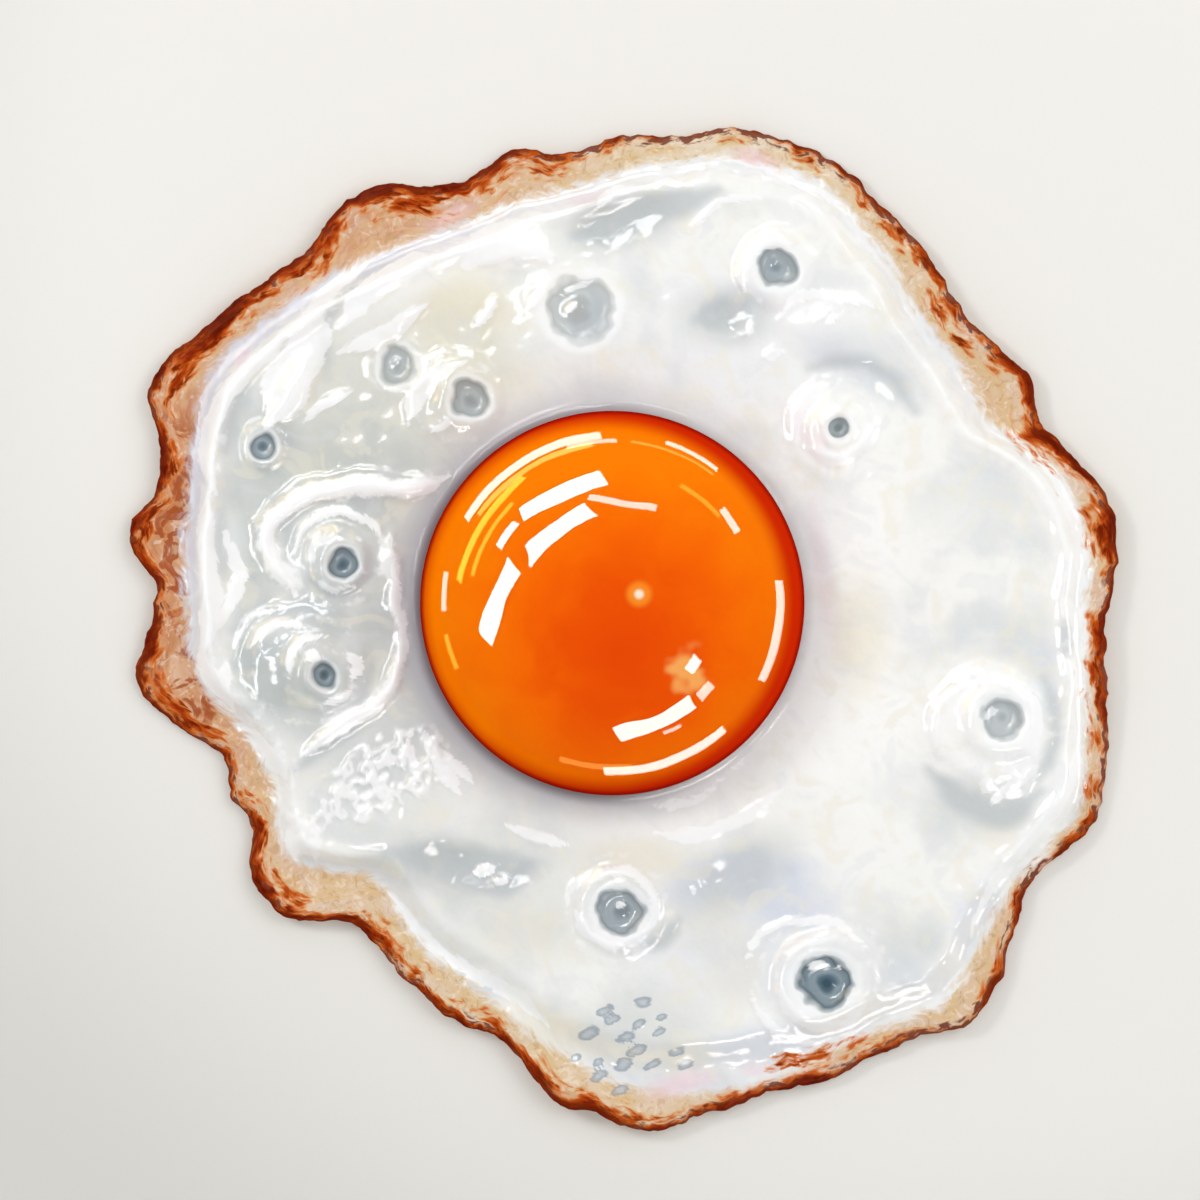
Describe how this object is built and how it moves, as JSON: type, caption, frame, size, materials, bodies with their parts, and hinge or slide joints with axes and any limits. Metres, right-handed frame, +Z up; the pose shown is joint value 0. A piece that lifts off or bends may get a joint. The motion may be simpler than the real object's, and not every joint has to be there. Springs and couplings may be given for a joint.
{
  "type": "fried egg",
  "caption": "Fried egg, sunny side up: a flat blistered white with a crisp brown fringe round a raised round yolk.",
  "frame": {"origin": "on the flat face that the egg rests on, straight under the middle of the yolk", "axes": "+Z up out of the yolk, the shortest way through; +Y towards the top of the picture, +X towards its right"},
  "size_m": [0.1136, 0.1152, 0.0168],
  "materials": {
    "cooked_white": "glossy wet white with blisters, turning tan and then dark brown along a thin crisp fringe",
    "yolk": "very glossy orange, deeper red-orange towards its rim"
  },
  "bodies": {
    "root": {"egg_white": "cooked_white", "egg_yolk": "yolk"}
  },
  "joints": []
}
